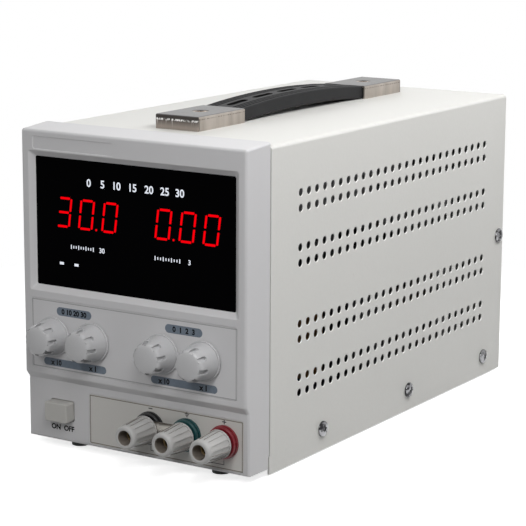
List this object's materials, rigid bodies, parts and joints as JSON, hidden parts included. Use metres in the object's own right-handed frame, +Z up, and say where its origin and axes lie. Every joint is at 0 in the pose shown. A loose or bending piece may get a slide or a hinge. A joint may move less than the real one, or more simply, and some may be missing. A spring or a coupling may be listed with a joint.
{
  "type": "bench power supply",
  "caption": "Laboratory bench power supply: sheet-metal case with moulded front bezel, digit window, voltage and current knobs, binding posts, shorting link and strap handle.",
  "frame": {"origin": "on the floor under the centre of the bounding box", "axes": "-Y towards the front panel, +X to the right seen from the front, +Z up"},
  "size_m": [0.138, 0.2972, 0.1711],
  "materials": {
    "cover_paint": "fine textured powder coat, warm light grey",
    "sheet_steel": "zinc-plated sheet",
    "bezel_plastic": "fine-grained light grey moulding",
    "window_tint": "polished black-tinted acrylic",
    "label_grey": "printed film",
    "label_warm": "printed film, warm grey",
    "knob_plastic": "satin light grey moulding",
    "button_plastic": "satin light grey moulding",
    "steel": "bright plated",
    "nickel": "bright nickel plate over folded steel",
    "brass": "turned, plated",
    "nickel_brass": "turned and nickel-plated",
    "rubber": "moulded rubber",
    "strap_plastic": "soft matt moulding",
    "flange_black": "moulded",
    "flange_green": "moulded",
    "flange_red": "moulded",
    "cap_clear": "milky translucent moulding",
    "black_plastic": "moulded",
    "board": "glass-fibre board with solder mask",
    "display_body": "moulded, filled segments",
    "aluminium": "extruded",
    "core_steel": "varnished laminations",
    "winding": "copper wire under insulating tape",
    "glass": "clear tube",
    "capacitor": "aluminium can in a printed sleeve"
  },
  "bodies": {
    "case": {"top_cover": "cover_paint", "chassis_base": "sheet_steel", "front_frame": "sheet_steel", "rear_panel": "cover_paint", "cover_screws": "steel", "rubber_feet": "rubber", "front_bezel": "bezel_plastic", "panel_screws": "steel", "display_window": "window_tint", "voltage_display": "display_body", "current_display": "display_body", "display_board": "board", "control_label": "label_grey", "terminal_label": "label_warm", "potentiometers": "steel", "pot_nuts": "steel", "power_switch": "black_plastic", "post_nuts": "brass", "handle_cap_front": "nickel", "handle_cap_rear": "nickel", "handle_screws": "steel", "strap_front": "strap_plastic", "strap_rear": "strap_plastic", "strap_tabs": "strap_plastic", "fan_housing": "black_plastic", "fan_guard": "steel", "mains_inlet": "black_plastic", "fuse_holder": "black_plastic", "heat_sink": "aluminium", "power_transistors": "black_plastic", "transformer_core": "core_steel", "transformer_winding": "winding", "main_board": "board", "filter_capacitors": "capacitor", "negative_flange": "flange_black", "ground_flange": "flange_green", "positive_flange": "flange_red", "negative_stud": "nickel_brass", "ground_stud": "nickel_brass", "positive_stud": "nickel_brass"},
    "voltage_coarse_knob": {"voltage_coarse_knob": "knob_plastic", "voltage_coarse_shaft": "steel"},
    "voltage_fine_knob": {"voltage_fine_knob": "knob_plastic", "voltage_fine_shaft": "steel"},
    "current_coarse_knob": {"current_coarse_knob": "knob_plastic", "current_coarse_shaft": "steel"},
    "current_fine_knob": {"current_fine_knob": "knob_plastic", "current_fine_shaft": "steel"},
    "power_button": {"power_button": "button_plastic"},
    "negative_insert": {"negative_insert": "brass"},
    "negative_cap": {"negative_cap": "cap_clear"},
    "ground_insert": {"ground_insert": "brass"},
    "ground_cap": {"ground_cap": "cap_clear"},
    "positive_insert": {"positive_insert": "brass"},
    "positive_cap": {"positive_cap": "cap_clear"},
    "shorting_link": {"shorting_link": "nickel"},
    "handle_grip": {"handle_grip": "strap_plastic"},
    "fan_rotor": {"fan_rotor": "black_plastic"},
    "fuse": {"fuse": "glass"},
    "fuse_cap": {"fuse_cap": "black_plastic"}
  },
  "joints": [
    {"name": "voltage_coarse_turn", "type": "hinge", "parent": "case", "child": "voltage_coarse_knob", "pos_m": [-0.0478, -0.13872, 0.0586], "axis": [0, 1, 0], "range_deg": [-150, 150]},
    {"name": "voltage_fine_turn", "type": "hinge", "parent": "case", "child": "voltage_fine_knob", "pos_m": [-0.0235, -0.13872, 0.0586], "axis": [0, 1, 0], "range_deg": [-150, 150]},
    {"name": "current_coarse_turn", "type": "hinge", "parent": "case", "child": "current_coarse_knob", "pos_m": [0.0182, -0.13872, 0.0586], "axis": [0, 1, 0], "range_deg": [-150, 150]},
    {"name": "current_fine_turn", "type": "hinge", "parent": "case", "child": "current_fine_knob", "pos_m": [0.0425, -0.13872, 0.0586], "axis": [0, 1, 0], "range_deg": [-150, 150]},
    {"name": "power_button_press", "type": "slide", "parent": "case", "child": "power_button", "axis": [0, 1, 0], "range_m": [0, 0.0035], "stiffness_N_per_m": 400, "springref_m": -0.002},
    {"name": "negative_cap_advance", "type": "slide", "parent": "case", "child": "negative_insert", "axis": [0, -1, 0], "range_m": [0, 0.005]},
    {"name": "negative_cap_turn", "type": "hinge", "parent": "negative_insert", "child": "negative_cap", "pos_m": [0.0093, -0.13637, 0.0196], "axis": [0, -1, 0], "range_deg": [0, 1800]},
    {"name": "ground_cap_advance", "type": "slide", "parent": "case", "child": "ground_insert", "axis": [0, -1, 0], "range_m": [0, 0.005]},
    {"name": "ground_cap_turn", "type": "hinge", "parent": "ground_insert", "child": "ground_cap", "pos_m": [0.0309, -0.13637, 0.0196], "axis": [0, -1, 0], "range_deg": [0, 1800]},
    {"name": "positive_cap_advance", "type": "slide", "parent": "case", "child": "positive_insert", "axis": [0, -1, 0], "range_m": [0, 0.005]},
    {"name": "positive_cap_turn", "type": "hinge", "parent": "positive_insert", "child": "positive_cap", "pos_m": [0.0525, -0.13637, 0.0196], "axis": [0, -1, 0], "range_deg": [0, 1800]},
    {"name": "link_swing", "type": "hinge", "parent": "case", "child": "shorting_link", "pos_m": [0.0093, -0.13068, 0.0196], "axis": [0, -1, 0], "range_deg": [0, 75]},
    {"name": "handle_lift", "type": "slide", "parent": "case", "child": "handle_grip", "axis": [0, 0, 1], "range_m": [0, 0.012], "deforming": ["strap_front", "strap_rear"]},
    {"name": "fan_spin", "type": "hinge", "parent": "case", "child": "fan_rotor", "pos_m": [0, 0.12627, 0.104], "axis": [0, 1, 0], "continuous": true},
    {"name": "fuse_draw", "type": "slide", "parent": "case", "child": "fuse", "axis": [0, 1, 0], "range_m": [0, 0.03]},
    {"name": "fuse_cap_turn", "type": "hinge", "parent": "fuse", "child": "fuse_cap", "pos_m": [0.03, 0.14328, 0.03], "axis": [0, 1, 0], "range_deg": [0, 90]}
  ],
  "couplings": [
    {"joint": "negative_cap_turn", "follows": "negative_cap_advance", "rad_per_m": 6283.2},
    {"joint": "ground_cap_turn", "follows": "ground_cap_advance", "rad_per_m": 6283.2},
    {"joint": "positive_cap_turn", "follows": "positive_cap_advance", "rad_per_m": 6283.2}
  ]
}
